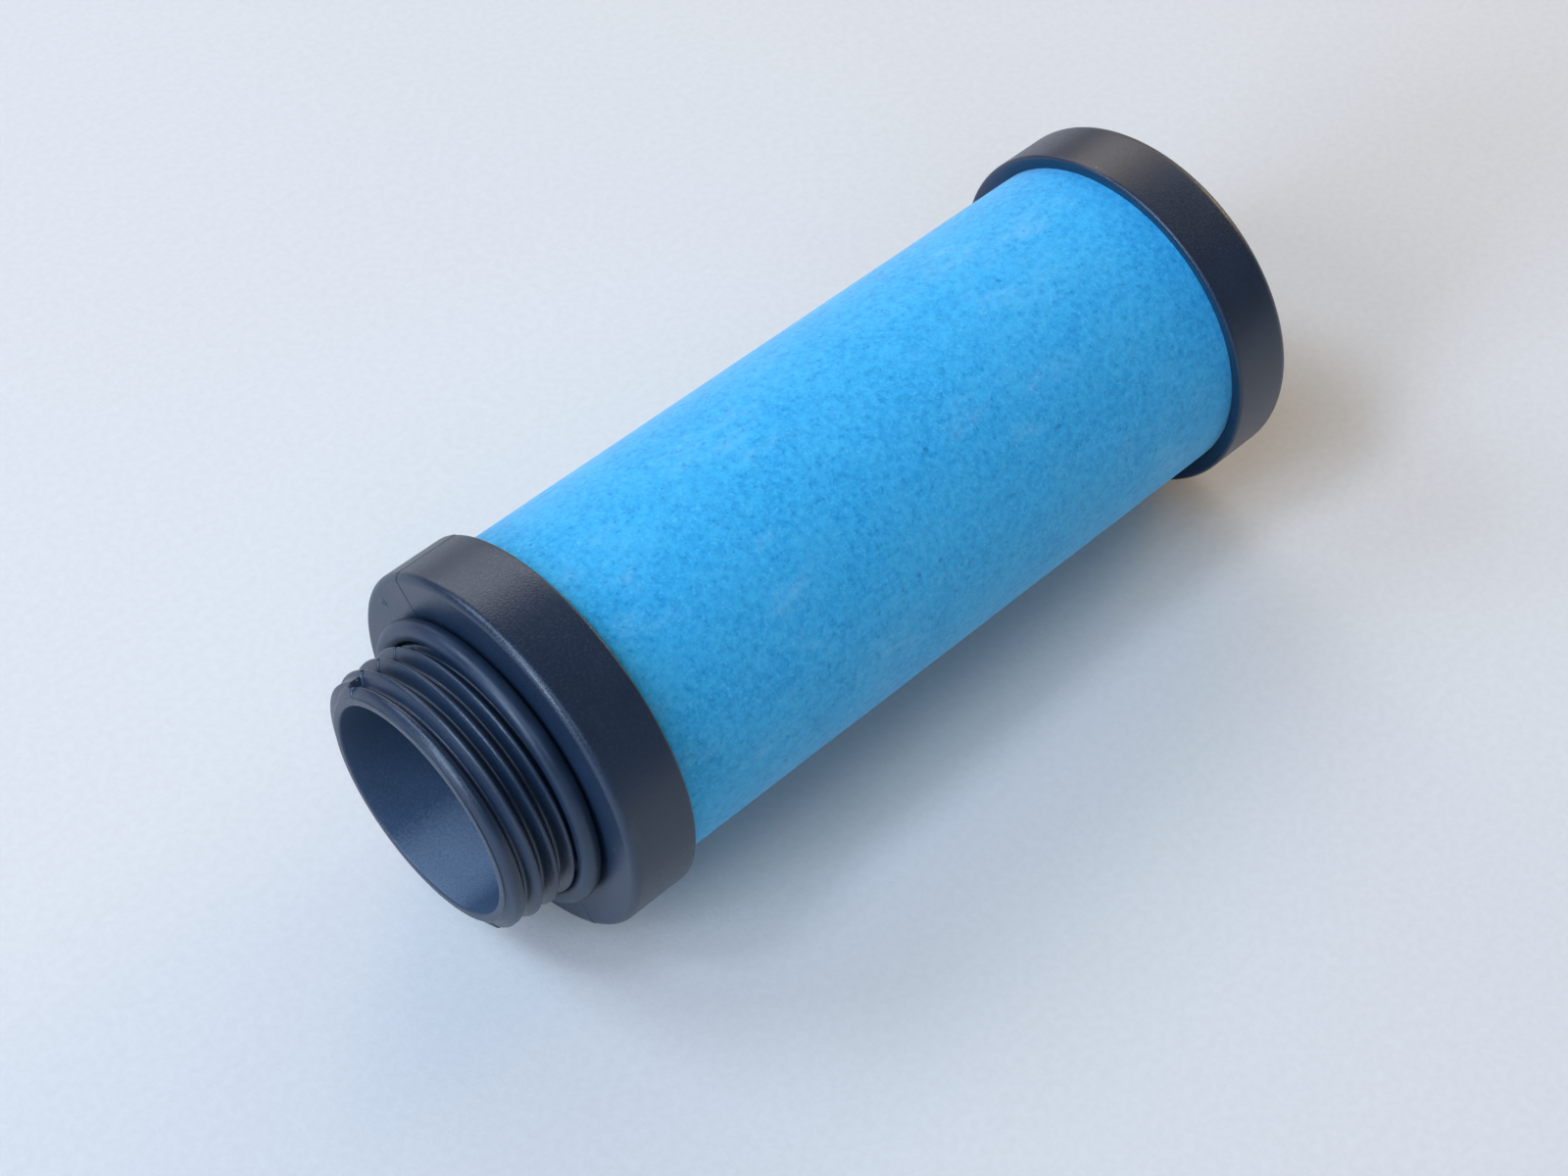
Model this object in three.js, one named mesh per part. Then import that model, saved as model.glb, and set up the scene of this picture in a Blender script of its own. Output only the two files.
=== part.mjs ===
// Pneumatic muffler: a sintered plastic tube between two moulded caps, with a G1 male inlet thread.
//
// Units are millimetres. The muffler lies along X: its inlet thread points to -X and its closed end
// to +X. +Z is up. The origin is on the axis, in the plane of the flange face that the O-ring seals.
// Angles are about the axis, counted from +Z, positive by the right-hand rule about +X.

import * as THREE from 'three';

// Caps and flange.
const CAP_RADIUS = 23.4;
const FLANGE_THICKNESS = 8.9;
const END_CAP_WIDTH = 9;
const END_CAP_FLOOR = 3.0;
const FRONT_FILLET = 1.2;
const MOUTH_FILLET = 0.6;
const END_FILLET = 1.5;

// Inlet spigot and its thread, G1 of ISO 228: 11 threads per inch, a 55 degree rounded form.
const SPIGOT_LENGTH = 11.2;
const BORE_RADIUS = 13.7;
const LIP_RADIUS = 14.75;
const LIP_CHAMFER = 0.3;
const LIP_ROUNDING = 1.0; // length over which the lip rounds up to the thread
const THREAD_PITCH = 25.4 / 11;
const THREAD_MAJOR_RADIUS = 33.249 / 2;
const THREAD_DEPTH = 0.640327 * THREAD_PITCH;
const THREAD_ROUNDING = 0.137329 * THREAD_PITCH;
const FLANK_ANGLE = THREE.MathUtils.degToRad(27.5);
const FIRST_CREST_X = -3.54; // where the thread's last crest crosses the +Z side
const THREAD_START = THREE.MathUtils.degToRad(-3 * 360 - 88); // the crest starts to rise here
const THREAD_FULL = THREE.MathUtils.degToRad(-3 * 360 - 50); // and is full from here on

// The mould splits along the axis. The lead-in is cut into one half only.
const PARTING_ANGLE = THREE.MathUtils.degToRad(-41);
const LEAD_IN_LENGTH = 1.75;
const LEAD_IN_RADIUS = 15.65;

// O-ring and the plain neck that it sits on.
const SEAL_SECTION_RADIUS = 1.31;
const SEAL_CENTRE_RADIUS = 17.38;
const NECK_RADIUS = 15.9;
const SHOULDER_X = -2.2; // a shoulder slopes up from the neck here and cuts off the thread
const SHOULDER_SLOPE = 1.45;
const GROOVE_END_X = -1.2; // the thread's last groove has faded out here, under the O-ring
const GROOVE_FADE_LENGTH = 0.5;
const FLANGE_LAND_RADIUS = 19.1; // the flange face is clear of the O-ring outside this

// Porous tube and the seats that hold it.
const TUBE_RADIUS = 21.4;
const TUBE_BORE_RADIUS = 17.0;
const TUBE_SHOWING = 90.1;
const CLEARANCE = 0.3; // between neighbouring pieces
const SEAT_DEPTH = 5.2;
const COLLAR_CHAMFER = 0.4;
const MOUTH_SLOPE_WIDTH = 1.0; // each cap's mouth slopes in towards its seat
const MOUTH_SLOPE_DEPTH = 0.5;
const COLLAR_BORE_RADIUS = 13.7;
const COLLAR_OVERHANG = 1.5; // how far each inner collar stands past its cap's mouth
const BOND_THICKNESS = 0.8;

// How finely round shapes are divided.
const SEGMENTS = 64;
const FILLET_STEPS = 4;
const SEAL_STEPS = 12;
const THREAD_STEPS_PER_PITCH = 7;

const MOUTH_X = FLANGE_THICKNESS; // the inlet cap's mouth
const END_MOUTH_X = MOUTH_X + TUBE_SHOWING;
const END_X = END_MOUTH_X + END_CAP_WIDTH;
const SEAT_RADIUS = TUBE_RADIUS + CLEARANCE;
const COLLAR_RADIUS = TUBE_BORE_RADIUS - CLEARANCE;

const materials = {
  capPlastic: { color: 0x20252d, roughness: 0.5, metalness: 0 },
  sealRubber: { color: 0x1c2027, roughness: 0.45, metalness: 0 },
  porousPlastic: { color: 0x2aa5e8, roughness: 0.95, metalness: 0 },
  bondResin: { color: 0xd8cfae, roughness: 0.4, metalness: 0 },
};

function namedMesh(name, geometry, look) {
  const mesh = new THREE.Mesh(geometry, new THREE.MeshStandardMaterial(look));
  mesh.name = name;
  return mesh;
}

// Points are [x, radius] pairs along the axis, as everywhere below.
function arc(x, radius, size, from, to, steps) {
  return Array.from({ length: steps + 1 }, (_, i) => {
    const angle = THREE.MathUtils.degToRad(from + ((to - from) * i) / steps);
    return [x + size * Math.cos(angle), radius + size * Math.sin(angle)];
  });
}

// A solid of revolution about X, from an outline that closes on itself or runs from axis to axis.
// It runs clockwise where x points right and the radius up, which turns the faces outward.
function turned(outline) {
  const points = outline.map(([x, radius]) => new THREE.Vector2(radius, x));
  return new THREE.LatheGeometry(points, SEGMENTS).rotateZ(-Math.PI / 2);
}

// A ring about X whose closed section changes with the angle: sectionAt(angle) gives [x, radius]
// pairs, the same number of them at every angle, clockwise as above.
function turnedWithThread(sectionAt) {
  const sections = Array.from({ length: SEGMENTS }, (_, i) => sectionAt((2 * Math.PI * i) / SEGMENTS));
  const rows = sections[0].length;
  const positions = [];
  sections.forEach((section, i) => {
    const angle = (2 * Math.PI * i) / SEGMENTS;
    section.forEach(([x, radius]) => {
      positions.push(x, -radius * Math.sin(angle), radius * Math.cos(angle));
    });
  });
  const indices = [];
  for (let i = 0; i < SEGMENTS; i += 1) {
    const here = i * rows;
    const next = ((i + 1) % SEGMENTS) * rows;
    for (let row = 0; row < rows; row += 1) {
      const after = (row + 1) % rows;
      indices.push(here + row, next + row, next + after, here + row, next + after, here + after);
    }
  }
  const geometry = new THREE.BufferGeometry();
  geometry.setAttribute('position', new THREE.Float32BufferAttribute(positions, 3));
  geometry.setIndex(indices);
  geometry.computeVertexNormals();
  return geometry;
}

// Height of the thread form above its root, for a distance along the axis from the crest.
function threadForm(distance) {
  const t = Math.abs(distance);
  const roundReach = THREAD_ROUNDING * Math.cos(FLANK_ANGLE);
  const roundDrop = THREAD_ROUNDING * (1 - Math.sin(FLANK_ANGLE));
  if (t < roundReach) return THREAD_DEPTH - THREAD_ROUNDING + Math.sqrt(THREAD_ROUNDING ** 2 - t ** 2);
  const fromRoot = THREAD_PITCH / 2 - t;
  if (fromRoot < roundReach) return THREAD_ROUNDING - Math.sqrt(THREAD_ROUNDING ** 2 - fromRoot ** 2);
  return THREAD_DEPTH - roundDrop - (t - roundReach) / Math.tan(FLANK_ANGLE);
}

// Radius that the lip's rounding leaves at a distance from the lip, and the lead-in where it is cut.
function lipLimit(fromLip, inLeadInHalf) {
  const top = inLeadInHalf ? LEAD_IN_RADIUS : THREAD_MAJOR_RADIUS;
  const short = 1 - Math.min(fromLip / LIP_ROUNDING, 1);
  const rounded = LIP_RADIUS + (top - LIP_RADIUS) * Math.sqrt(1 - short ** 2);
  return rounded + Math.max(0, fromLip - LEAD_IN_LENGTH);
}

// Outer radius of the spigot, from its lip to where the plain neck starts.
function threadRadius(angle, x) {
  const root = THREAD_MAJOR_RADIUS - THREAD_DEPTH;
  const turns = (x - FIRST_CREST_X) / THREAD_PITCH - angle / (2 * Math.PI);
  const crest = Math.round(turns);
  const along = angle + 2 * Math.PI * crest; // angle travelled along the helix from its +Z crossing
  const started = THREE.MathUtils.clamp((along - THREAD_START) / (THREAD_FULL - THREAD_START), 0, 1);
  const height = threadForm((turns - crest) * THREAD_PITCH) * started;
  const inLeadInHalf = Math.sin(angle - PARTING_ANGLE) > 0;
  const threaded = Math.min(root + height, lipLimit(x + SPIGOT_LENGTH, inLeadInHalf));
  const neck = NECK_RADIUS + Math.max(0, SHOULDER_X - x) * SHOULDER_SLOPE;
  const grooveDepth = THREE.MathUtils.clamp((GROOVE_END_X - x) / GROOVE_FADE_LENGTH, 0, 1);
  return neck - grooveDepth * Math.max(0, neck - threaded);
}

// The inlet cap: threaded spigot, neck, flange, the seat for the tube and the collar inside it.
function inletCap() {
  const threadLength = SPIGOT_LENGTH + GROOVE_END_X;
  const threadRows = Math.round((threadLength / THREAD_PITCH) * THREAD_STEPS_PER_PITCH);
  const seatFloor = MOUTH_X - SEAT_DEPTH;
  const collarEnd = MOUTH_X + COLLAR_OVERHANG;
  const flange = [
    [GROOVE_END_X, NECK_RADIUS],
    [0, NECK_RADIUS],
    [0, FLANGE_LAND_RADIUS],
    ...arc(FRONT_FILLET, CAP_RADIUS - FRONT_FILLET, FRONT_FILLET, 180, 90, FILLET_STEPS),
    ...arc(MOUTH_X - MOUTH_FILLET, CAP_RADIUS - MOUTH_FILLET, MOUTH_FILLET, 90, 0, FILLET_STEPS),
    [MOUTH_X, SEAT_RADIUS + MOUTH_SLOPE_WIDTH],
    [MOUTH_X - MOUTH_SLOPE_DEPTH, SEAT_RADIUS],
    [seatFloor, SEAT_RADIUS],
    [seatFloor, COLLAR_RADIUS],
    [collarEnd - COLLAR_CHAMFER, COLLAR_RADIUS],
    [collarEnd, COLLAR_RADIUS - COLLAR_CHAMFER],
    [collarEnd, BORE_RADIUS],
    [LIP_CHAMFER - SPIGOT_LENGTH, BORE_RADIUS],
    [-SPIGOT_LENGTH, BORE_RADIUS + LIP_CHAMFER],
  ];
  return turnedWithThread((angle) => {
    const thread = Array.from({ length: threadRows }, (_, i) => {
      const x = -SPIGOT_LENGTH + (threadLength * i) / threadRows;
      return [x, threadRadius(angle, x)];
    });
    return [...thread, ...flange];
  });
}

function sealRing() {
  const x = -SEAL_SECTION_RADIUS - CLEARANCE / 2;
  return turned(arc(x, SEAL_CENTRE_RADIUS, SEAL_SECTION_RADIUS, 360, 0, SEAL_STEPS));
}

// A plain ring between two places on the axis and two radii.
function ring(from, to, innerRadius, outerRadius) {
  return turned([
    [from, innerRadius],
    [from, outerRadius],
    [to, outerRadius],
    [to, innerRadius],
    [from, innerRadius],
  ]);
}

function porousTube() {
  const inset = SEAT_DEPTH - BOND_THICKNESS - 2 * CLEARANCE;
  return ring(MOUTH_X - inset, END_MOUTH_X + inset, TUBE_BORE_RADIUS, TUBE_RADIUS);
}

function bondRing(from) {
  return ring(from, from + BOND_THICKNESS, TUBE_BORE_RADIUS, TUBE_RADIUS);
}

// The closed cap at the far end: a cup with the same seat and collar as the inlet cap.
function endCap() {
  const seatFloor = END_MOUTH_X + SEAT_DEPTH;
  const collarEnd = END_MOUTH_X - COLLAR_OVERHANG;
  const innerFace = END_X - END_CAP_FLOOR;
  return turned([
    [innerFace, 0],
    [innerFace, COLLAR_BORE_RADIUS],
    [collarEnd, COLLAR_BORE_RADIUS],
    [collarEnd, COLLAR_RADIUS - COLLAR_CHAMFER],
    [collarEnd + COLLAR_CHAMFER, COLLAR_RADIUS],
    [seatFloor, COLLAR_RADIUS],
    [seatFloor, SEAT_RADIUS],
    [END_MOUTH_X + MOUTH_SLOPE_DEPTH, SEAT_RADIUS],
    [END_MOUTH_X, SEAT_RADIUS + MOUTH_SLOPE_WIDTH],
    ...arc(END_MOUTH_X + MOUTH_FILLET, CAP_RADIUS - MOUTH_FILLET, MOUTH_FILLET, 180, 90, FILLET_STEPS),
    ...arc(END_X - END_FILLET, CAP_RADIUS - END_FILLET, END_FILLET, 90, 0, FILLET_STEPS),
    [END_X, 0],
  ]);
}

const muffler = new THREE.Group();
muffler.add(
  namedMesh('inlet_cap', inletCap(), materials.capPlastic),
  namedMesh('seal_ring', sealRing(), materials.sealRubber),
  namedMesh('porous_tube', porousTube(), materials.porousPlastic),
  namedMesh('end_cap', endCap(), materials.capPlastic),
  namedMesh('inlet_bond_ring', bondRing(MOUTH_X - SEAT_DEPTH + CLEARANCE), materials.bondResin),
  namedMesh(
    'end_bond_ring',
    bondRing(END_MOUTH_X + SEAT_DEPTH - CLEARANCE - BOND_THICKNESS),
    materials.bondResin,
  ),
);

export default muffler;
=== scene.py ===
"""Looks of the pneumatic muffler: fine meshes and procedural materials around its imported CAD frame.

The muffler lies along X with its inlet thread at -X. Shapes are worked out in millimetres and turned
into metres as each mesh is made. Angles are about the axis, from +Z, positive by the right-hand rule
about +X.
"""

import math

import bmesh
import bpy
import numpy as np
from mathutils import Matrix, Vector, noise


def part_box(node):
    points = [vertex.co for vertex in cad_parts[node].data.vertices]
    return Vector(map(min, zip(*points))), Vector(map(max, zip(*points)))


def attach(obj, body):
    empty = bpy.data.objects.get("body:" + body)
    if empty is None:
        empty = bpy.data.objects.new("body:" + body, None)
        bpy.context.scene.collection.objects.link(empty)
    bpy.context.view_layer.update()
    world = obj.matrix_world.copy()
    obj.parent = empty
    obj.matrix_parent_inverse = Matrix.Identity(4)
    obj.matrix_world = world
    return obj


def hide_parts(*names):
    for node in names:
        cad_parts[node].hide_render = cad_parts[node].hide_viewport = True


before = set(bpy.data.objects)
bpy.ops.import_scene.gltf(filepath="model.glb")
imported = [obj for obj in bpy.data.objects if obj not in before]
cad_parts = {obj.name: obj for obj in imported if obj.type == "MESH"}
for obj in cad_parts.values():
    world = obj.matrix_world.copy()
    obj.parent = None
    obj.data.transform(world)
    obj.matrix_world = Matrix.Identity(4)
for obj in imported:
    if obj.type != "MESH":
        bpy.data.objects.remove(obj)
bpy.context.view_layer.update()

MM = 0.001


def span(node, axis):
    """Lowest and highest place of a CAD node along an axis, in millimetres."""
    low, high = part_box(node)
    return low[axis] / MM, high[axis] / MM


X, Z = 0, 2

# Places that the CAD nodes give.
LIP_X, COLLAR_END_X = span("inlet_cap", X)
CAP_RADIUS = span("inlet_cap", Z)[1]
END_COLLAR_X, END_X = span("end_cap", X)
TUBE_START_X, TUBE_STOP_X = span("porous_tube", X)
TUBE_RADIUS = span("porous_tube", Z)[1]
SEAL_LOW_X, SEAL_HIGH_X = span("seal_ring", X)
SEAL_OUTER_RADIUS = span("seal_ring", Z)[1]

# The CAD design's dimensions that no box shows.
COLLAR_OVERHANG = 1.5  # how far each inner collar stands past its cap's mouth
SEAT_DEPTH = 5.2
CLEARANCE = 0.3
TUBE_BORE_RADIUS = 17.0
BORE_RADIUS = 13.7
LIP_RADIUS = 14.75
NECK_RADIUS = 15.9
END_CAP_FLOOR = 3.0

MOUTH_X = COLLAR_END_X - COLLAR_OVERHANG
END_MOUTH_X = END_COLLAR_X + COLLAR_OVERHANG
SEAT_RADIUS = TUBE_RADIUS + CLEARANCE
COLLAR_RADIUS = TUBE_BORE_RADIUS - CLEARANCE

# Edges and mouths of the caps.
FRONT_FILLET = 1.0
END_FILLET = 1.4
MOUTH_FILLET = 0.4
MOUTH_SLOPE_DEPTH = 0.55  # each mouth slopes in towards the tube
MOUTH_GAP = 0.08  # between the tube and the narrow land behind the slope
MOUTH_LAND = 1.2
SEAT_CHAMFER = 0.2
COLLAR_FILLET = 0.4
NECK_FILLET = 0.2
LIP_EDGE = 0.15
LIP_INNER_EDGE = 0.25
FLAT_INSET = 0.3  # flats are divided evenly from this far beyond the fillets that end them

# How unevenly the rubber and the caps have shrunk, and how lumpy the tube's skin is.
UNEVENNESS = 0.02
UNEVENNESS_SCALE = 0.12
SEAL_UNEVENNESS_SCALE = 0.25
GRAIN_LUMP, GRAIN_LUMP_SCALE = 0.016, 1.1
SKIN_WAVE, SKIN_WAVE_SCALE = 0.03, 0.1
BORE_WAVE_SCALE = 0.9
SKIN_SHRINKAGE = 0.045

# The closed end's recess, and the well in its middle with the stub of the moulding gate.
RECESS_RADIUS = 17.0
RECESS_DEPTH = 0.4
RECESS_EDGE = 0.2
WELL_RADIUS = 2.4
WELL_EDGE = 0.35
WELL_DEPTH = 0.55
STUB_RADIUS = 1.0
STUB_EDGE = 0.25

# The G1 thread: 11 turns per inch, 55 degree rounded form. Its crest last crosses the +Z side at
# CREST_X. It starts to rise, and is full, at these angles along the helix from there.
PITCH = 25.4 / 11
MAJOR_RADIUS = 33.249 / 2
THREAD_DEPTH = 0.640327 * PITCH
ROUNDING = 0.137329 * PITCH
FLANK = math.radians(27.5)
CREST_X = -3.54
THREAD_START = math.radians(-3 * 360 - 62)
THREAD_FULL = math.radians(-3 * 360 - 28)
EDGE_SOFTNESS = 0.12

# The neck that the O-ring sits on. The thread's last groove fades out under the ring.
NECK_X = -2.2
SHOULDER_SLOPE = 1.45
GROOVE_END_X = -1.2
GROOVE_FADE_LENGTH = 0.5

# The lip rounds up to the thread. The lead-in is cut into one half of the mould, and grows towards
# the end of that half. The other half is the far one.
LIP_ROUNDING = 1.0
FAR_LIP_ROUNDING = 0.6
LIP_SLOPE = 1.2
LEAD_IN_LENGTH = 1.75
LEAD_IN_RADIUS = 15.68
LEAD_IN_GROWTH = 0.75
LEAD_IN_GROWTH_FROM = math.radians(75)
LEAD_IN_GROWTH_TO = math.radians(137)

# In the far half the groove before the second turn is almost filled, next to the parting line.
FILL_HEIGHT = 1.05
FILL_FROM = math.radians(-150)
FILL_TO = math.radians(-115)
FILL_EDGE = 0.25
FILL_EDGE_WIDTH = 0.35

# The parting line, and how badly the two halves meet.
PARTING = math.radians(-41)
PARTING_STEP_LENGTH = 0.12
THREAD_MISMATCH = 0.12
RADIAL_MISMATCH = 0.07
MISMATCH = 0.06
MISMATCH_REACH = 2.5
FACE_MISMATCH_SHARE = 0.7
SEAM_DEPTH = 0.06
SEAM_WIDTH = 0.09
THREAD_SEAM_DEPTH = 0.16

# A small raised ring on the flange face, the mark of an ejector pin.
MARK_ANGLE = math.radians(-60)
MARK_CENTRE_RADIUS = 21.0
MARK_RADIUS = 0.42
MARK_LINE_WIDTH = 0.16
MARK_HEIGHT = 0.08
MARK_REACH = 0.7

# The camera: its azimuth from -Y towards +X and its elevation, in degrees, the point that it looks
# at, its distance from that point, and its lens.
CAMERA_AZIMUTH = -43.49
CAMERA_ELEVATION = 50.07
CAMERA_TARGET = (42.37, -1.76, -4.42)
CAMERA_DISTANCE = 330.14
CAMERA_LENS = 63.81

# The lights, as azimuth and elevation in degrees, power in watts and width in metres.
WINDOW = (
    (126, 42, 8.0, 0.6),
    (178, 42, 5.5, 0.4),
    (180, 20, 12.5, 0.6),
    (206, 64, 2.9, 0.6),
    (234, 42, 3.3, 0.6),
    (161, 58, 5.0, 0.3),
)
ROOM = ((0, 20, 6.5, 0.6), (36, 28, 4.6, 1.0))
SIDE = ((60, 36, 3.5, 0.6), (76, 20, 2.5, 0.6))
DAYLIGHT = (0.60, 0.79, 1.08)
WARM = (1.0, 0.76, 0.42)
NEUTRAL = (0.84, 0.88, 0.96)
LIGHT_DISTANCE = 1.6
SKY = (0.95, 0.88, 0.78)
SKY_STRENGTH = 0.12
FLOOR_REACH = 5.0


# ---------------------------------------------------------------- mesh tools

def arc(x, radius, size, start, stop, steps):
    """Points on an arc about (x, radius), with its angles in degrees."""
    angles = np.radians(np.linspace(start, stop, steps + 1))
    return [(x + size * math.cos(a), radius + size * math.sin(a)) for a in angles]


def line(start, stop, steps):
    """Points from start up to, but not including, stop."""
    return [tuple(np.array(start) + (np.array(stop) - np.array(start)) * i / steps) for i in range(steps)]


def polar_mesh(name, angles, x, radius, wrap):
    """A mesh about the X axis. x and radius are arrays, one row per ring and one column per angle.
    wrap joins the last ring to the first; without it the end rings shrink to points on the axis."""
    rings, count = x.shape
    places = np.stack([x, -radius * np.sin(angles), radius * np.cos(angles)], axis=-1) * MM
    ring, step = np.meshgrid(np.arange(rings if wrap else rings - 1), np.arange(count), indexing="ij")
    after_ring, after_step = (ring + 1) % rings, (step + 1) % count
    corners = [(ring, step), (ring, after_step), (after_ring, after_step), (after_ring, step)]
    faces = np.stack([r * count + s for r, s in corners], axis=-1).reshape(-1, 4)
    mesh = bpy.data.meshes.new(name)
    mesh.from_pydata(places.reshape(-1, 3).tolist(), [], faces.tolist())
    work = bmesh.new()
    work.from_mesh(mesh)
    bmesh.ops.remove_doubles(work, verts=work.verts, dist=1e-7)
    bmesh.ops.recalc_face_normals(work, faces=work.faces)
    work.to_mesh(mesh)
    work.free()
    mesh.shade_smooth()
    mesh.set_sharp_from_angle(angle=math.radians(50))
    piece = bpy.data.objects.new(name, mesh)
    bpy.context.scene.collection.objects.link(piece)
    return piece


def spread(outline, count):
    """Turns an outline of (x, radius) points into arrays with a column for each of count angles."""
    points = np.array(outline)
    return np.repeat(points[:, :1], count, axis=1), np.repeat(points[:, 1:], count, axis=1)


def ring_angles(count, fine_at=(), fine_offsets=()):
    """Angles round the axis, with extra ones close to each angle of fine_at."""
    angles = [2 * math.pi * i / count for i in range(count)]
    angles += [(centre + math.radians(o)) % (2 * math.pi) for centre in fine_at for o in fine_offsets]
    return np.array(sorted(set(np.round(angles, 7))))


def turned(angle):
    """The angle brought between -pi and pi."""
    return (angle + math.pi) % (2 * math.pi) - math.pi


def wavy(x, radius, angles, size, scale, seed):
    """Smooth random heights for a surface, at most about size, with features 1/scale apart."""
    places = np.stack([x, -radius * np.sin(angles), radius * np.cos(angles)], axis=-1).reshape(-1, 3)
    shift = Vector((seed * 17.3, seed * 5.1, seed * 9.7))
    heights = [noise.noise(Vector(p) * scale + shift) for p in places]
    return size * np.array(heights).reshape(x.shape)


# ---------------------------------------------------------------- the thread

def thread_form(distance):
    """Height of the thread above its root at a distance along the axis from its crest."""
    t = np.abs(distance)
    reach = ROUNDING * math.cos(FLANK)
    drop = ROUNDING * (1 - math.sin(FLANK))
    crest = THREAD_DEPTH - ROUNDING + np.sqrt(np.maximum(ROUNDING**2 - t**2, 0))
    root = ROUNDING - np.sqrt(np.maximum(ROUNDING**2 - (PITCH / 2 - t) ** 2, 0))
    flank = THREAD_DEPTH - drop - (t - reach) / math.tan(FLANK)
    return np.where(t < reach, crest, np.where(PITCH / 2 - t < reach, root, flank))


def softer_minimum(a, b):
    """The smaller of two lengths, rounded off where they cross."""
    return (a + b - np.sqrt((a - b) ** 2 + EDGE_SOFTNESS**2)) / 2


def rise_along(value, start, stop):
    """Goes evenly from 0 at start to 1 at stop, and stays there."""
    return np.clip((value - start) / (stop - start), 0, 1)


def far_share(angle):
    """0 in the half of the mould with the lead-in and 1 in the far half, with a short step between."""
    return 0.5 - 0.5 * np.tanh(np.sin(angle - PARTING) * LIP_RADIUS / PARTING_STEP_LENGTH)


def lip_limit(angle, from_lip, far_half):
    """Radius that the lip's rounding and the lead-in leave, at a distance along the axis from the lip."""
    grown = rise_along(turned(angle), LEAD_IN_GROWTH_FROM, LEAD_IN_GROWTH_TO)
    lead_in = LEAD_IN_RADIUS + LEAD_IN_GROWTH * grown
    top = lead_in + (MAJOR_RADIUS - lead_in) * far_half
    length = LIP_ROUNDING + (FAR_LIP_ROUNDING - LIP_ROUNDING) * far_half
    rounded = 1 - (1 - np.clip(from_lip / length, 0, 1)) ** 2
    return LIP_RADIUS + (top - LIP_RADIUS) * rounded + np.maximum(0, from_lip - LEAD_IN_LENGTH)


def groove_fill(angle, x, from_lip, far_half):
    """Height that is left in the groove before the second turn, next to the parting line."""
    before_second_turn = (x - CREST_X) / PITCH - turned(angle) / (2 * math.pi) < -2
    filled = far_half * before_second_turn * rise_along(turned(angle), FILL_FROM, FILL_TO)
    fill = FILL_HEIGHT * filled * rise_along(from_lip, FILL_EDGE, FILL_EDGE + FILL_EDGE_WIDTH)
    return np.where(turned(angle) < 0, fill, 0)


def thread_radius(angle, x):
    """Outer radius of the spigot, from its lip to the flange."""
    far_half = far_share(angle)
    turns = (x + THREAD_MISMATCH * far_half - CREST_X) / PITCH - angle / (2 * math.pi)
    crest = np.round(turns)
    started = rise_along(angle + 2 * math.pi * crest, THREAD_START, THREAD_FULL)
    from_lip = x - LIP_X - LIP_EDGE
    fill = groove_fill(angle, x, from_lip, far_half)
    rise = np.maximum(thread_form((turns - crest) * PITCH) * started, fill)
    root = np.minimum(MAJOR_RADIUS - THREAD_DEPTH, LIP_RADIUS + LIP_SLOPE * from_lip)
    limit = lip_limit(angle, from_lip, far_half)
    threaded = softer_minimum(root + rise, limit) + RADIAL_MISMATCH * far_half
    neck = NECK_RADIUS + np.maximum(0, NECK_X - x) * SHOULDER_SLOPE
    groove = np.clip((GROOVE_END_X - x) / GROOVE_FADE_LENGTH, 0, 1)
    return neck - groove * np.maximum(0, neck - softer_minimum(threaded, neck))


# ---------------------------------------------------------------- pieces

def seam_groove(angles, radius, depth):
    """Depth of the fine groove along both parting lines."""
    return sum(
        depth * np.exp(-((turned(angles - centre) * radius / SEAM_WIDTH) ** 2))
        for centre in (PARTING, PARTING + math.pi)
    )


def seam(angles, radius):
    """How far the surface is raised or sunk by the parting line: the halves meet with a small step
    and a fine groove."""
    far_half = np.sin(angles - PARTING) < 0
    raised = -seam_groove(angles, radius, SEAM_DEPTH)
    for centre in (PARTING, PARTING + math.pi):
        off = turned(angles - centre) * radius
        raised += np.where(far_half, MISMATCH * np.exp(-np.abs(off) / MISMATCH_REACH), 0)
    return raised


def ejector_mark(angles, radius):
    """How far the ejector pin's mark stands out of the flange face."""
    away = np.hypot(turned(angles - MARK_ANGLE) * radius, radius - MARK_CENTRE_RADIUS)
    return MARK_HEIGHT * np.exp(-(((away - MARK_RADIUS) / MARK_LINE_WIDTH) ** 2))


def uneven(x, radius, angles, seed):
    """How far a moulded surface has shrunk unevenly, as a small negative height."""
    return wavy(x, radius, angles, UNEVENNESS, UNEVENNESS_SCALE, seed) - UNEVENNESS


def seat(mouth_x, inward):
    """A cap's mouth and the seat behind it, from the middle of the slope to the foot of the collar.
    inward is 1 for a seat that goes in towards +X and -1 for one towards -X."""
    land_start = MOUTH_SLOPE_DEPTH
    land_stop = MOUTH_SLOPE_DEPTH + MOUTH_LAND
    points = (
        (MOUTH_SLOPE_DEPTH / 2, (SEAT_RADIUS + CAP_RADIUS - MOUTH_FILLET) / 2),
        (land_start, TUBE_RADIUS + MOUTH_GAP),
        (land_stop, TUBE_RADIUS + MOUTH_GAP),
        (land_stop + SEAT_CHAMFER, SEAT_RADIUS),
        (SEAT_DEPTH, SEAT_RADIUS),
        (SEAT_DEPTH, COLLAR_RADIUS),
    )
    return [(mouth_x + inward * depth, radius) for depth, radius in points]


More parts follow.
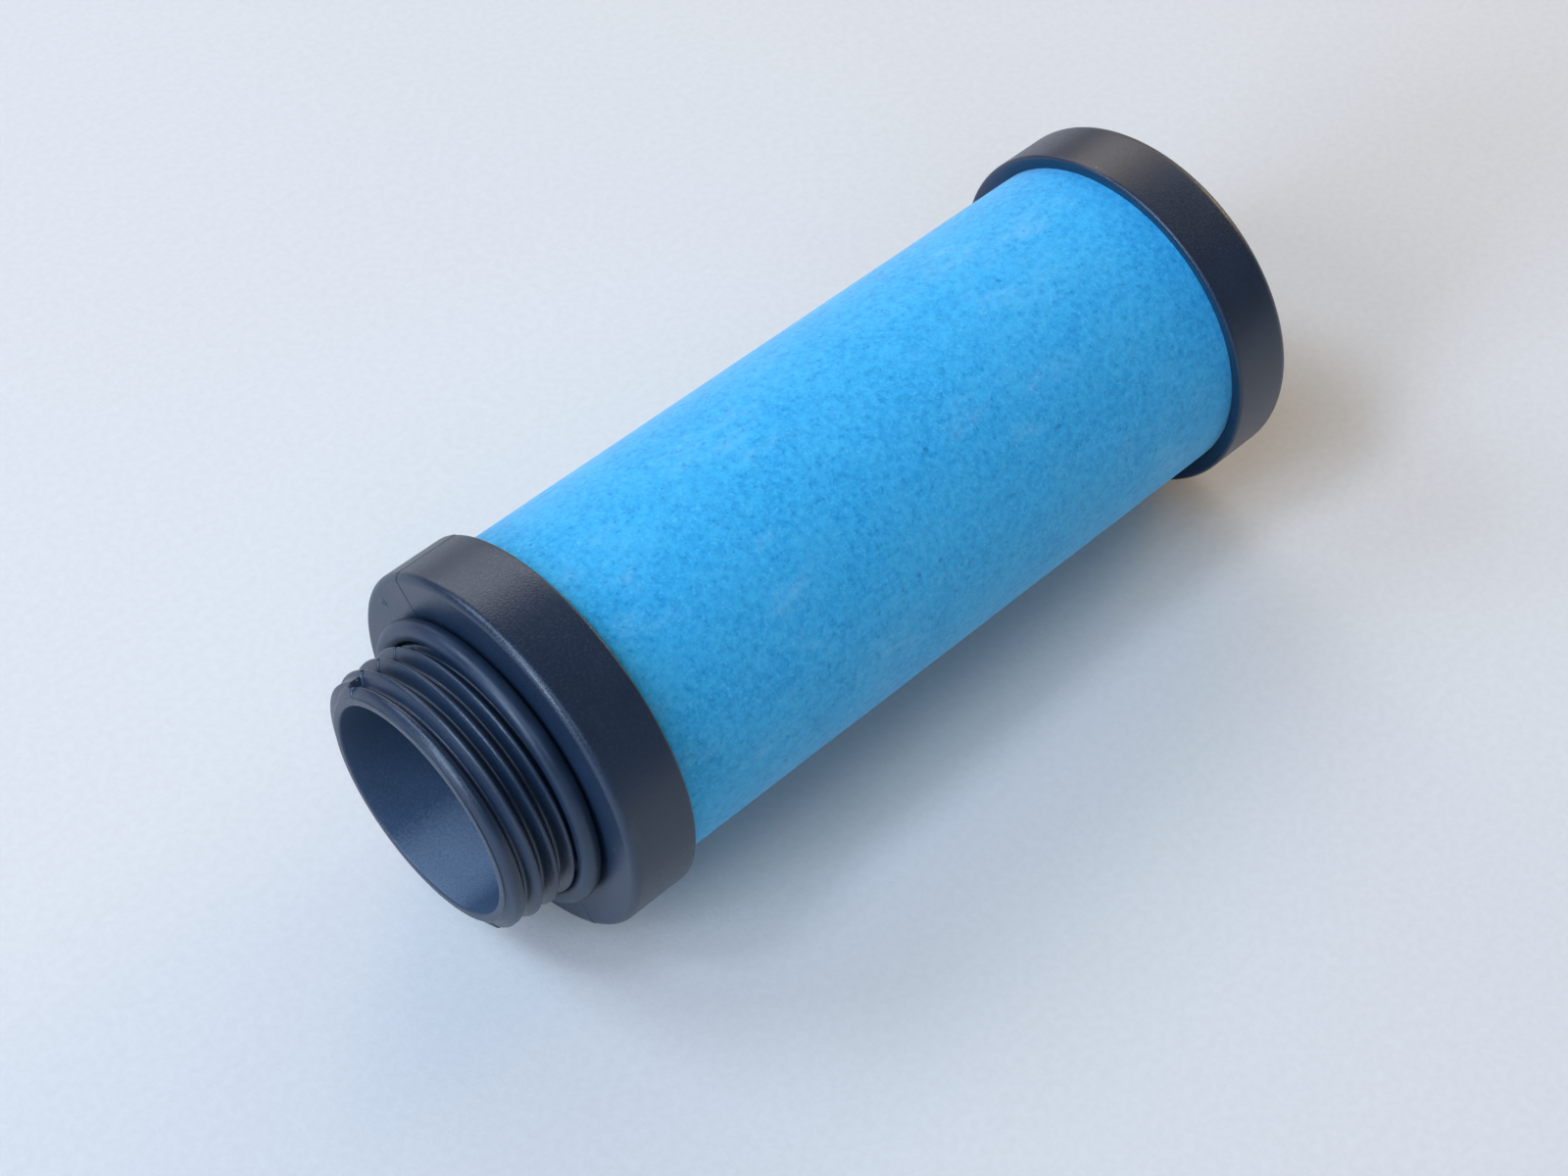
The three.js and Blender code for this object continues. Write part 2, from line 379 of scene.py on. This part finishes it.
def flange_outline():
    """The neck's foot, the flange's face with finer rows at the ejector mark, its rim and its mouth."""
    mark_start, mark_stop = MARK_CENTRE_RADIUS - MARK_REACH, MARK_CENTRE_RADIUS + MARK_REACH
    rim_start, rim_stop = FRONT_FILLET + FLAT_INSET, MOUTH_X - MOUTH_FILLET - FLAT_INSET
    return [
        *arc(-NECK_FILLET, NECK_RADIUS + NECK_FILLET, NECK_FILLET, 270, 360, 4)[1:],
        *line((0, NECK_RADIUS + 2 * NECK_FILLET), (0, mark_start), 9),
        *line((0, mark_start), (0, mark_stop), 20),
        *line((0, mark_stop), (0, CAP_RADIUS - FRONT_FILLET), 3),
        *arc(FRONT_FILLET, CAP_RADIUS - FRONT_FILLET, FRONT_FILLET, 180, 90, 10),
        *line((rim_start, CAP_RADIUS), (rim_stop, CAP_RADIUS), 8),
        *arc(MOUTH_X - MOUTH_FILLET, CAP_RADIUS - MOUTH_FILLET, MOUTH_FILLET, 90, 0, 8),
    ]


def inlet_bore_outline():
    """The inlet cap's mouth, seat, inner collar and bore, back to the lip."""
    collar_x, lip_x = COLLAR_END_X - COLLAR_FILLET, LIP_X + LIP_INNER_EDGE
    return [
        *seat(MOUTH_X, -1),
        *arc(collar_x, COLLAR_RADIUS - COLLAR_FILLET, COLLAR_FILLET, 90, 0, 4),
        *arc(collar_x, BORE_RADIUS + COLLAR_FILLET, COLLAR_FILLET, 0, -90, 4),
        *line((COLLAR_END_X - 2 * COLLAR_FILLET, BORE_RADIUS), (lip_x, BORE_RADIUS), 10),
        *arc(lip_x, BORE_RADIUS + LIP_INNER_EDGE, LIP_INNER_EDGE, 270, 180, 5),
    ]


def make_inlet_cap():
    """The threaded cap, with the mould's parting line on its thread and flange."""
    fine_offsets = [degrees / 8 for degrees in range(-28, 29)]
    angles = ring_angles(300, (PARTING, PARTING + math.pi, MARK_ANGLE), fine_offsets)
    count = len(angles)
    thread_x = np.linspace(LIP_X + LIP_EDGE, -NECK_FILLET, 160)[:, None] + np.zeros(count)
    thread_r = thread_radius(angles, thread_x)
    thread_r = thread_r - seam_groove(angles, thread_r, THREAD_SEAM_DEPTH)
    lip_x, lip_r = spread(arc(LIP_X + LIP_EDGE, LIP_RADIUS - LIP_EDGE, LIP_EDGE, 180, 95, 5), count)
    out_x, out_r = spread(flange_outline(), count)
    in_x, in_r = spread(inlet_bore_outline(), count)
    raised = seam(angles, out_r)
    on_face = (out_x < FRONT_FILLET * 0.3) & (out_r > NECK_RADIUS + 0.3)
    on_rim = out_r > CAP_RADIUS - FRONT_FILLET * 0.7
    face_height = raised * FACE_MISMATCH_SHARE + ejector_mark(angles, out_r)
    rim_height = raised + uneven(out_x, out_r, angles, 1)
    out_x = out_x - np.where(on_face, face_height, 0)
    out_r = out_r + np.where(on_rim, rim_height, 0)
    x = np.concatenate([lip_x, thread_x, out_x, in_x])
    radius = np.concatenate([lip_r, thread_r, out_r, in_r])
    return polar_mesh("inlet_cap_shell", angles, x, radius, wrap=True)


def make_seal_ring():
    """The O-ring, a little pinched and uneven as moulded rubber is."""
    angles = ring_angles(300)
    size = (SEAL_HIGH_X - SEAL_LOW_X) / 2
    middle_x = (SEAL_HIGH_X + SEAL_LOW_X) / 2
    middle_radius = SEAL_OUTER_RADIUS - size
    turn = np.linspace(0, 2 * math.pi, 49)[:-1][:, None] + np.zeros(len(angles))
    x = middle_x + size * np.cos(turn)
    radius = middle_radius + size * np.sin(turn)
    swell = wavy(x, radius, angles, UNEVENNESS, SEAL_UNEVENNESS_SCALE, 2) - UNEVENNESS
    x = x + swell * np.cos(turn)
    radius = radius + swell * np.sin(turn)
    return polar_mesh("seal_ring_rubber", angles, x, radius, wrap=True)


def make_porous_tube():
    """The sintered tube. Its skin is slightly lumpy, from the grains that it is made of."""
    angles = ring_angles(420)
    count = len(angles)
    outer = line((TUBE_START_X, TUBE_RADIUS), (TUBE_STOP_X, TUBE_RADIUS), 300)
    inner = line((TUBE_STOP_X, TUBE_BORE_RADIUS), (TUBE_START_X, TUBE_BORE_RADIUS), 120)
    outer_x, outer_r = spread(outer, count)
    inner_x, inner_r = spread(inner, count)
    lumps = wavy(outer_x, outer_r, angles, GRAIN_LUMP, GRAIN_LUMP_SCALE, 3)
    lumps = lumps + wavy(outer_x, outer_r, angles, SKIN_WAVE, SKIN_WAVE_SCALE, 4)
    outer_r = outer_r + lumps - SKIN_SHRINKAGE
    inner_r = inner_r + wavy(inner_x, inner_r, angles, SKIN_WAVE, BORE_WAVE_SCALE, 5) + SKIN_WAVE
    x = np.concatenate([outer_x, inner_x])
    radius = np.concatenate([outer_r, inner_r])
    return polar_mesh("porous_tube_wall", angles, x, radius, wrap=True)


def end_cup_outline():
    """The closed cap from its inner face out over the collar, seat and rim to its outer face."""
    inner_x = END_X - END_CAP_FLOOR
    inner_fillet = 0.5
    collar_x = END_COLLAR_X + COLLAR_FILLET
    rim_start = END_MOUTH_X + MOUTH_FILLET + FLAT_INSET
    rim_stop = END_X - END_FILLET - FLAT_INSET
    return [
        (inner_x, 0),
        *line((inner_x, 1.0), (inner_x, BORE_RADIUS - inner_fillet), 6),
        *arc(inner_x - inner_fillet, BORE_RADIUS - inner_fillet, inner_fillet, 0, 90, 5),
        *line((inner_x - 2 * inner_fillet, BORE_RADIUS), (collar_x, BORE_RADIUS), 4),
        *arc(collar_x, BORE_RADIUS + COLLAR_FILLET, COLLAR_FILLET, 270, 180, 4),
        *arc(collar_x, COLLAR_RADIUS - COLLAR_FILLET, COLLAR_FILLET, 180, 90, 4),
        *reversed(seat(END_MOUTH_X, 1)),
        *arc(END_MOUTH_X + MOUTH_FILLET, CAP_RADIUS - MOUTH_FILLET, MOUTH_FILLET, 180, 90, 8),
        *line((rim_start, CAP_RADIUS), (rim_stop, CAP_RADIUS), 8),
        *arc(END_X - END_FILLET, CAP_RADIUS - END_FILLET, END_FILLET, 90, 0, 12),
    ]


def end_face_outline():
    """The closed cap's outer face, over the edge of its recess and the stub of the gate to the axis."""
    recess_x = END_X - RECESS_DEPTH
    flat_start = CAP_RADIUS - END_FILLET - FLAT_INSET
    flat_stop = RECESS_RADIUS + 2 * RECESS_EDGE
    return [
        *line((END_X, flat_start), (END_X, flat_stop), 4),
        *arc(END_X - RECESS_EDGE, flat_stop, RECESS_EDGE, 0, -90, 4)[1:],
        *arc(recess_x + RECESS_EDGE, RECESS_RADIUS, RECESS_EDGE, 90, 180, 3),
        *line((recess_x, RECESS_RADIUS - 2 * RECESS_EDGE), (recess_x, WELL_RADIUS + 0.6), 12),
        *arc(recess_x - WELL_EDGE, WELL_RADIUS, WELL_EDGE, 0, -60, 4),
        (recess_x - WELL_DEPTH, 1.6),
        (recess_x - WELL_DEPTH + 0.03, 1.15),
        *arc(recess_x - RECESS_EDGE, STUB_RADIUS - STUB_EDGE, STUB_EDGE, 60, 0, 4),
        (recess_x + 0.03, 0.3),
        (recess_x + 0.02, 0),
    ]


def make_end_cap():
    """The closed cap."""
    angles = ring_angles(300)
    x, radius = spread(end_cup_outline() + end_face_outline(), len(angles))
    on_rim = radius > CAP_RADIUS - END_FILLET * 0.7
    radius = radius + np.where(on_rim, uneven(x, radius, angles, 6), 0)
    return polar_mesh("end_cap_shell", angles, x, radius, wrap=False)


# ---------------------------------------------------------------- materials

class Nodes:
    """A short way to write a material's node tree. Coordinates are in metres, so a texture's scale is
    a number per metre, and a bump's distance is in metres."""

    def __init__(self, name):
        self.material = bpy.data.materials.new(name)
        self.material.use_nodes = True
        self.tree = self.material.node_tree
        self.tree.nodes.clear()
        self.coordinates = self.add("ShaderNodeTexCoord").outputs["Object"]
        self.shader = self.add("ShaderNodeBsdfPrincipled")
        output = self.add("ShaderNodeOutputMaterial")
        self.link(self.shader.outputs["BSDF"], output.inputs["Surface"])

    def add(self, kind, **settings):
        node = self.tree.nodes.new(kind)
        for key, value in settings.items():
            setattr(node, key, value)
        return node

    def link(self, source, target):
        self.tree.links.new(source, target)

    def noise(self, scale, detail=2.0, roughness=0.5, where=None):
        node = self.add("ShaderNodeTexNoise")
        node.inputs["Scale"].default_value = scale
        node.inputs["Detail"].default_value = detail
        node.inputs["Roughness"].default_value = roughness
        self.link(where or self.coordinates, node.inputs["Vector"])
        return node.outputs["Fac"]

    def cells(self, scale):
        """Distance to the nearest of a set of scattered points."""
        node = self.add("ShaderNodeTexVoronoi", feature="F1")
        node.inputs["Scale"].default_value = scale
        self.link(self.coordinates, node.inputs["Vector"])
        return node.outputs["Distance"]

    def stretched(self, factors):
        node = self.add("ShaderNodeVectorMath", operation="MULTIPLY")
        self.link(self.coordinates, node.inputs[0])
        node.inputs[1].default_value = factors
        return node.outputs["Vector"]

    def coordinate(self, axis):
        node = self.add("ShaderNodeSeparateXYZ")
        self.link(self.coordinates, node.inputs[0])
        return node.outputs[axis]

    def distance_from_axis(self):
        across = self.stretched((0.0, 1.0, 1.0))
        node = self.add("ShaderNodeVectorMath", operation="LENGTH")
        self.link(across, node.inputs[0])
        return node.outputs["Value"]

    def ramp(self, value, low, high, to_low=0.0, to_high=1.0):
        node = self.add("ShaderNodeMapRange", interpolation_type="SMOOTHSTEP")
        self.link(value, node.inputs["Value"])
        for key, number in (("From Min", low), ("From Max", high), ("To Min", to_low), ("To Max", to_high)):
            node.inputs[key].default_value = number
        return node.outputs["Result"]

    def math(self, operation, a, b):
        node = self.add("ShaderNodeMath", operation=operation)
        for socket, value in zip(node.inputs, (a, b)):
            if isinstance(value, (int, float)):
                socket.default_value = value
            else:
                self.link(value, socket)
        return node.outputs["Value"]

    def mix(self, share, a, b):
        """Mixes two colours, each a tuple or a socket, by a share from 0 to 1."""
        node = self.add("ShaderNodeMix", data_type="RGBA")
        self.link(share, node.inputs["Factor"])
        colour_inputs = [socket for socket in node.inputs if socket.type == "RGBA"]
        for socket, value in zip(colour_inputs, (a, b)):
            if isinstance(value, tuple):
                socket.default_value = (*value, 1.0)
            else:
                self.link(value, socket)
        return [socket for socket in node.outputs if socket.type == "RGBA"][0]

    def bump(self, height, distance, strength=1.0, before=None):
        node = self.add("ShaderNodeBump")
        node.inputs["Distance"].default_value = distance
        node.inputs["Strength"].default_value = strength
        self.link(height, node.inputs["Height"])
        if before is not None:
            self.link(before, node.inputs["Normal"])
        return node.outputs["Normal"]

    def surface(self, colour, roughness, normal, **numbers):
        self.link(colour, self.shader.inputs["Base Color"])
        self.link(roughness, self.shader.inputs["Roughness"])
        self.link(normal, self.shader.inputs["Normal"])
        for key, value in numbers.items():
            self.shader.inputs[key.replace("_", " ")].default_value = value
        return self.material


def cap_plastic():
    """Dark slate moulding with a fine eroded texture, cloudy sheen and a few pale dust specks. The bore is
    rougher, and its colour is paler with painted light, paler still along its bottom with a painted
    highlight."""
    n = Nodes("cap_plastic")
    cloud = n.noise(60, detail=3)
    grain = n.noise(3800, detail=2)
    scuff = n.noise(500, detail=4, where=n.stretched((1.0, 0.25, 0.25)))
    dusty = n.ramp(n.noise(170), 0.58, 0.66)
    speck = n.math("MULTIPLY", n.ramp(n.cells(420), 0.05, 0.035), dusty)
    slate = n.mix(n.ramp(cloud, 0.35, 0.65), (0.0095, 0.022, 0.046), (0.0125, 0.029, 0.058))
    worn = n.mix(n.ramp(scuff, 0.62, 0.78, 0.0, 0.25), slate, (0.045, 0.065, 0.10))
    grainy = n.mix(n.ramp(grain, 0.52, 0.75, 0.0, 0.5), worn, (0.030, 0.043, 0.066))
    colour = n.mix(n.math("MULTIPLY", speck, 0.5), grainy, (0.42, 0.44, 0.48))
    matt = n.math("ADD", n.ramp(cloud, 0.3, 0.7, 0.33, 0.39), n.ramp(grain, 0.3, 0.7, -0.05, 0.06))
    bore_limit = (BORE_RADIUS + 0.05) * MM
    near_axis = n.ramp(n.distance_from_axis(), bore_limit, bore_limit - 0.05 * MM)
    inlet_side = n.ramp(n.coordinate("X"), COLLAR_END_X * MM, (COLLAR_END_X - 0.4) * MM)
    in_bore = n.math("MULTIPLY", near_axis, inlet_side)
    # Painted light: the bore's colour is paler than the rest of the cap, standing in for the light that
    # gets into it, and paler still towards its bottom, a painted highlight.
    low_down = n.ramp(n.coordinate("Z"), -0.0112, -0.0137, 0.0, 0.8)
    painted_highlight_share = n.math("ADD", low_down, n.ramp(grain, 0.3, 0.7, -0.2, 0.2))
    bore_painted_light = n.mix(n.math("MAXIMUM", painted_highlight_share, 0.0), (0.036, 0.070, 0.128), (0.140, 0.190, 0.255))
    colour = n.mix(in_bore, colour, bore_painted_light)
    roughness = n.math("ADD", matt, n.math("MULTIPLY", in_bore, 0.26))
    normal = n.bump(grain, 0.00005, 0.6, before=n.bump(n.noise(700, detail=2), 0.00003, 0.25))
    return n.surface(colour, roughness, normal, Specular_IOR_Level=0.6)


def seal_rubber():
    """Smooth black rubber with a soft bloom."""
    n = Nodes("seal_rubber")
    cloud = n.noise(220, detail=3)
    grain = n.noise(5000, detail=2)
    colour = n.mix(n.ramp(cloud, 0.35, 0.7), (0.010, 0.024, 0.050), (0.016, 0.034, 0.064))
    roughness = n.ramp(cloud, 0.3, 0.7, 0.36, 0.46)
    normal = n.bump(grain, 0.00002, 0.35)
    return n.surface(colour, roughness, normal, Specular_IOR_Level=0.5)


def porous_plastic():
    """Sky-blue sintered plastic: fused grains with darker pores between them, and soft pale scuffs."""
    n = Nodes("porous_plastic")
    patches = n.noise(130, detail=4, roughness=0.6)
    mottle = n.noise(1100, detail=3, roughness=0.6)
    grain = n.noise(3000, detail=2, roughness=0.6)
    pit_size = n.ramp(n.noise(380), 0.55, 0.75, -0.1, 0.26)
    pit = n.ramp(n.math("SUBTRACT", n.cells(560), pit_size), 0.04, -0.08)
    speck_size = n.ramp(mottle, 0.5, 0.36, 0.0, 0.42)
    speck = n.ramp(n.math("SUBTRACT", n.cells(1500), speck_size), 0.05, -0.1)
    scuffs = n.noise(110, detail=5, roughness=0.7, where=n.stretched((0.5, 1.0, 1.0)))
    blue = n.mix(n.ramp(mottle, 0.3, 0.7), (0.010, 0.360, 0.73), (0.045, 0.500, 0.87))
    blue = n.mix(n.ramp(grain, 0.46, 0.28, 0.0, 0.5), blue, (0.006, 0.30, 0.62))
    blue = n.mix(n.ramp(grain, 0.56, 0.76, 0.0, 0.45), blue, (0.22, 0.70, 0.90))
    blue = n.mix(n.ramp(patches, 0.35, 0.7, 0.0, 0.25), blue, (0.09, 0.57, 0.86))
    blue = n.mix(n.ramp(scuffs, 0.52, 0.8, 0.0, 0.4), blue, (0.34, 0.70, 0.90))
    blue = n.mix(n.math("MULTIPLY", speck, 0.42), blue, (0.003, 0.24, 0.56))
    colour = n.mix(n.math("MULTIPLY", pit, 0.6), blue, (0.004, 0.20, 0.50))
    roughness = n.ramp(mottle, 0.3, 0.7, 0.80, 0.95)
    fine = n.bump(grain, 0.00006, 0.7, before=n.bump(mottle, 0.00008, 0.6))
    normal = n.bump(n.math("SUBTRACT", 1.0, pit), 0.00008, 0.6, before=fine)
    sheen = {"Sheen_Weight": 0.25, "Sheen_Roughness": 0.5}
    return n.surface(colour, roughness, normal, Specular_IOR_Level=0.25, **sheen)


def bond_resin():
    """Cast resin, honey-coloured, with faint clouds and trapped bubbles."""
    n = Nodes("bond_resin")
    cloud = n.noise(400, detail=3)
    bubbles = n.ramp(n.cells(1500), 0.15, 0.08)
    colour = n.mix(n.ramp(cloud, 0.3, 0.7), (0.55, 0.46, 0.27), (0.68, 0.60, 0.40))
    roughness = n.ramp(cloud, 0.3, 0.7, 0.22, 0.38)
    normal = n.bump(bubbles, 0.00005, 0.4)
    return n.surface(colour, roughness, normal, Coat_Weight=0.2)


def pale_paper():
    """The floor: plain pale paper with a fine tooth and a slight wave."""
    n = Nodes("pale_paper")
    fibre = n.noise(900, detail=4, roughness=0.6)
    wave = n.bump(n.noise(9, detail=2), 0.0012, 0.5)
    colour = n.mix(n.ramp(fibre, 0.3, 0.7), (0.785, 0.738, 0.690), (0.82, 0.772, 0.722))
    roughness = n.ramp(fibre, 0.3, 0.7, 0.8, 0.95)
    tooth = n.bump(n.noise(2100, detail=3, roughness=0.6), 0.00006, 0.5, before=wave)
    normal = n.bump(fibre, 0.00005, 0.3, before=tooth)
    return n.surface(colour, roughness, normal, Specular_IOR_Level=0.2)


# ---------------------------------------------------------------- the scene

def camera():
    """A camera that looks down at 50 degrees, from the side of the threaded end."""
    azimuth, elevation = math.radians(CAMERA_AZIMUTH), math.radians(CAMERA_ELEVATION)
    back = Vector((
        math.sin(azimuth) * math.cos(elevation),
        -math.cos(azimuth) * math.cos(elevation),
        math.sin(elevation),
    ))
    data = bpy.data.cameras.new("camera")
    data.lens = CAMERA_LENS
    data.clip_start = 0.01
    body = bpy.data.objects.new("camera", data)
    body.location = Vector(CAMERA_TARGET) * MM + back * CAMERA_DISTANCE * MM
    body.rotation_euler = (-back).to_track_quat("-Z", "Y").to_euler()
    bpy.context.scene.collection.objects.link(body)
    bpy.context.scene.camera = body


def area_light(azimuth, elevation, power, width, colour):
    """A square soft light aimed at the muffler's middle, seen from there at two angles in degrees:
    azimuth from +X towards +Y, and elevation above the floor."""
    turn, rise = math.radians(azimuth), math.radians(elevation)
    away = Vector((math.cos(turn) * math.cos(rise), math.sin(turn) * math.cos(rise), math.sin(rise)))
    data = bpy.data.lights.new("soft_light", "AREA")
    data.size = width
    data.energy = power
    data.color = colour
    lamp = bpy.data.objects.new("soft_light", data)
    lamp.location = Vector(((LIP_X + END_X) / 2 * MM, 0, 0)) + away * LIGHT_DISTANCE
    lamp.rotation_euler = (-away).to_track_quat("-Z", "Y").to_euler()
    bpy.context.scene.collection.objects.link(lamp)


def lights():
    """Daylight from a window beyond the threaded end, a weak warm room behind the closed end, and a
    neutral light from the side."""
    for azimuth, elevation, power, width in WINDOW:
        area_light(azimuth, elevation, power, width, DAYLIGHT)
    for azimuth, elevation, power, width in ROOM:
        area_light(azimuth, elevation, power, width, WARM)
    for azimuth, elevation, power, width in SIDE:
        area_light(azimuth, elevation, power, width, NEUTRAL)
    world = bpy.data.worlds.new("sky")
    world.use_nodes = True
    background = world.node_tree.nodes["Background"]
    background.inputs["Color"].default_value = (*SKY, 1.0)
    background.inputs["Strength"].default_value = SKY_STRENGTH
    bpy.context.scene.world = world
    bpy.context.scene.view_settings.view_transform = "Standard"


def floor():
    """A plain pale sheet under the muffler."""
    mesh = bpy.data.meshes.new("floor")
    work = bmesh.new()
    bmesh.ops.create_grid(work, x_segments=40, y_segments=40, size=FLOOR_REACH)
    work.to_mesh(mesh)
    work.free()
    sheet = bpy.data.objects.new("floor", mesh)
    sheet.location.z = -CAP_RADIUS * MM
    bpy.context.scene.collection.objects.link(sheet)
    sheet.data.materials.append(pale_paper())


def place(piece, material, node):
    """Gives a piece its material, hangs it under the root body and hides the CAD node that it stands for.
    """
    piece.data.materials.clear()
    piece.data.materials.append(material)
    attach(piece, "root")
    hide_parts(node)


def repaint(node, material):
    """A carried-over CAD node keeps its shape and gets a better material."""
    for material_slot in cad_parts[node].material_slots:
        material_slot.material = material


camera()
lights()
floor()
plastic, resin = cap_plastic(), bond_resin()
place(make_inlet_cap(), plastic, "inlet_cap")
place(make_seal_ring(), seal_rubber(), "seal_ring")
place(make_porous_tube(), porous_plastic(), "porous_tube")
place(make_end_cap(), plastic, "end_cap")
for bond in ("inlet_bond_ring", "end_bond_ring"):
    repaint(bond, resin)
